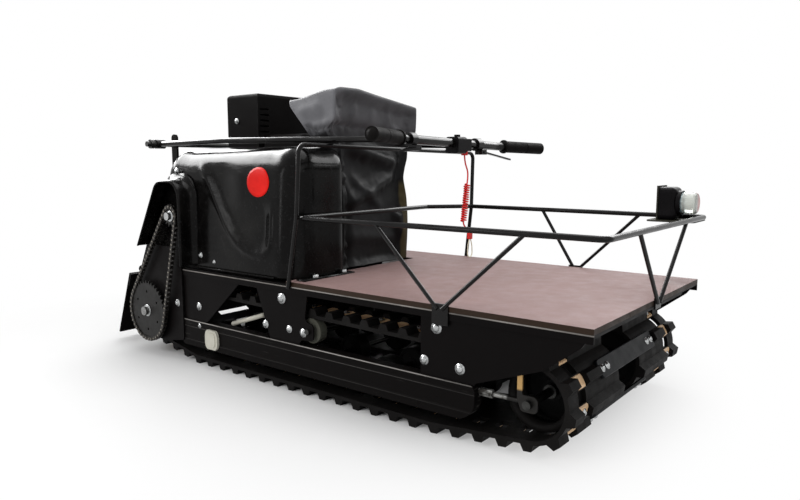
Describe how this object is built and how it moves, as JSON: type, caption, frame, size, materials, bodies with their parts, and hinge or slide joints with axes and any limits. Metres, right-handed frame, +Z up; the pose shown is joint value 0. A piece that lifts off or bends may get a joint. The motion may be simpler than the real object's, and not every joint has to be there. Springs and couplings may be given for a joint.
{
  "type": "tracked snow towing vehicle",
  "caption": "Walk-behind petrol towing machine on one wide rubber track, with a cargo deck in a rod basket, a hooded chain drive and a tiller that folds forward.",
  "frame": {"origin": "on the ground under the middle of the bounding box, without the lanyard", "axes": "+X forward towards the cargo deck, +Y left, +Z up"},
  "size_m": [1.4895, 0.6984, 0.7062],
  "materials": {
    "deck_plywood": "film-faced plywood, matt",
    "frame_black": "satin black powder coat",
    "rod_black": "gloss black paint",
    "track_rubber": "matt, moulded",
    "cross_plate": "moulded, satin",
    "zinc_steel": "zinc plated",
    "roller_plastic": "moulded",
    "roller_rim": "pale nylon",
    "chain_steel": "oiled",
    "hood_plastic": "gloss black vacuum-formed",
    "engine_metal": "satin black",
    "cover_vinyl": "coated fabric, soft sheen",
    "grip_rubber": "matt",
    "lamp_black": "moulded",
    "lamp_lens": "clear",
    "flap_rubber": "matt sheet",
    "strap_pale": "woven tape",
    "lanyard_red": "moulded red"
  },
  "bodies": {
    "chassis": {"deck_board": "deck_plywood", "deck_frame": "frame_black", "floor_plate": "frame_black", "side_gussets_right": "frame_black", "side_gussets_left": "frame_black", "lower_beam_right": "frame_black", "lower_beam_left": "frame_black", "bearing_plate_right": "frame_black", "bearing_plate_left": "frame_black", "drive_bearings": "frame_black", "track_belts": "track_rubber", "track_cross_plates": "cross_plate", "drive_shaft": "zinc_steel", "drive_sprockets": "roller_plastic", "wheel_axles": "zinc_steel", "idler_wheels": "roller_plastic", "road_rollers": "roller_plastic", "return_rollers": "roller_rim", "track_tensioners": "zinc_steel", "chain_sprocket_large": "chain_steel", "chain_sprocket_small": "chain_steel", "drive_chain": "chain_steel", "jackshaft": "zinc_steel", "hood": "hood_plastic", "engine_block": "engine_metal", "recoil_starter": "engine_metal", "fuel_tank": "engine_metal", "muffler_guard": "engine_metal", "engine_cover": "cover_vinyl", "basket_rail": "rod_black", "tiller_rest_hoop": "rod_black", "basket_struts": "rod_black", "headlight_bracket": "frame_black", "headlight_housing": "lamp_black", "headlight_lens": "lamp_lens", "tiller_posts": "frame_black", "tiller_pivot_rod": "zinc_steel", "mud_flap": "flap_rubber", "flap_carrier": "frame_black", "flap_arms": "frame_black", "rear_buffers": "flap_rubber", "tow_hitch": "frame_black"},
    "tiller": {"tiller_arms": "rod_black", "handlebar": "rod_black", "grip_right": "grip_rubber", "grip_left": "grip_rubber", "switch_block": "lamp_black", "brake_lever": "rod_black", "throttle_lever": "rod_black", "lanyard_cap": "lanyard_red", "lanyard_cord": "lanyard_red", "lanyard_coil": "lanyard_red", "lanyard_clip": "lanyard_red", "lanyard_strap": "strap_pale"}
  },
  "joints": [
    {"name": "tiller_hinge", "type": "hinge", "parent": "chassis", "child": "tiller", "pos_m": [-0.533, 0, 0.571], "axis": [0, -1, 0], "range_deg": [0, 152]}
  ]
}
